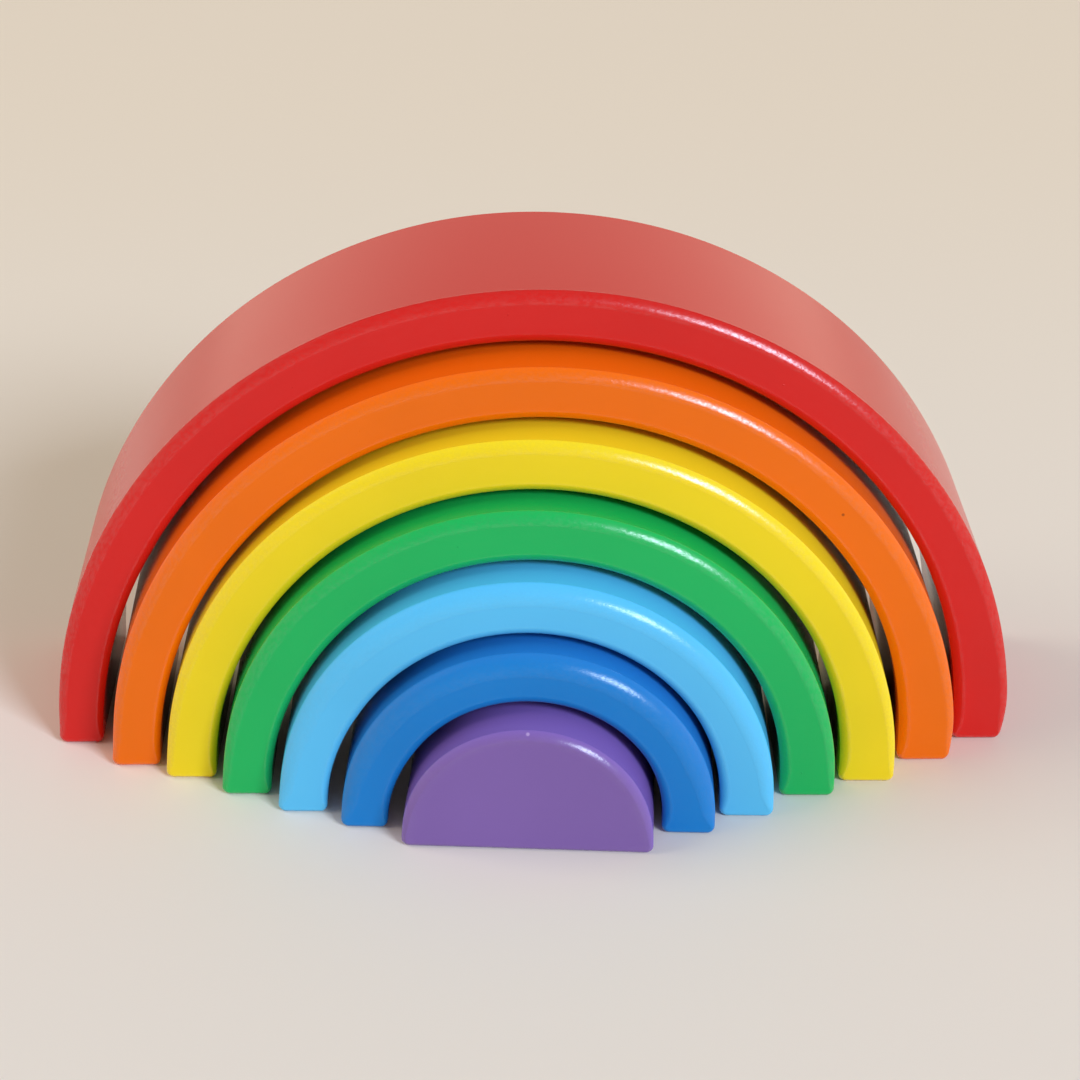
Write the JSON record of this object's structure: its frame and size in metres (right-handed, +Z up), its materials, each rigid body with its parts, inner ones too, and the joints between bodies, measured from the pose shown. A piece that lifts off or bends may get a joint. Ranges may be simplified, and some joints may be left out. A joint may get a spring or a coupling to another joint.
{
  "type": "rainbow stacker",
  "caption": "Nesting wooden rainbow toy: half-round painted arches around a solid half-round core, standing loose one inside another, to slide apart and stack.",
  "frame": {"origin": "on the floor, in the middle of the staggered set's footprint", "axes": "+X to the right across the arches, +Y to the back along the tunnels, +Z up"},
  "size_m": [0.24, 0.1067, 0.1226],
  "materials": {
    "red_paint": "satin enamel on sanded wood",
    "orange_paint": "satin enamel on sanded wood",
    "yellow_paint": "satin enamel on sanded wood",
    "green_paint": "satin enamel on sanded wood",
    "sky_blue_paint": "satin enamel on sanded wood",
    "blue_paint": "satin enamel on sanded wood",
    "violet_paint": "satin enamel on sanded wood"
  },
  "bodies": {
    "red_arch": {"red_arch": "red_paint"},
    "orange_arch": {"orange_arch": "orange_paint"},
    "yellow_arch": {"yellow_arch": "yellow_paint"},
    "green_arch": {"green_arch": "green_paint"},
    "sky_blue_arch": {"sky_blue_arch": "sky_blue_paint"},
    "blue_arch": {"blue_arch": "blue_paint"},
    "violet_core": {"violet_core": "violet_paint"}
  },
  "joints": [
    {"name": "orange_arch_slide", "type": "slide", "parent": "red_arch", "child": "orange_arch", "axis": [0, -1, 0], "range_m": [-0.0681, 0.0469]},
    {"name": "yellow_arch_slide", "type": "slide", "parent": "orange_arch", "child": "yellow_arch", "axis": [0.004, -1, 0], "range_m": [-0.0653, 0.0497]},
    {"name": "green_arch_slide", "type": "slide", "parent": "yellow_arch", "child": "green_arch", "axis": [-0.0198, -0.9998, 0], "range_m": [-0.0646, 0.0504]},
    {"name": "sky_blue_arch_slide", "type": "slide", "parent": "green_arch", "child": "sky_blue_arch", "axis": [-0.0151, -0.9999, 0], "range_m": [-0.0659, 0.0491]},
    {"name": "blue_arch_slide", "type": "slide", "parent": "sky_blue_arch", "child": "blue_arch", "axis": [-0.0285, -0.9996, 0], "range_m": [-0.0646, 0.0504]},
    {"name": "violet_core_slide", "type": "slide", "parent": "blue_arch", "child": "violet_core", "axis": [-0.0452, -0.999, 0], "range_m": [-0.0659, 0.0491]}
  ]
}
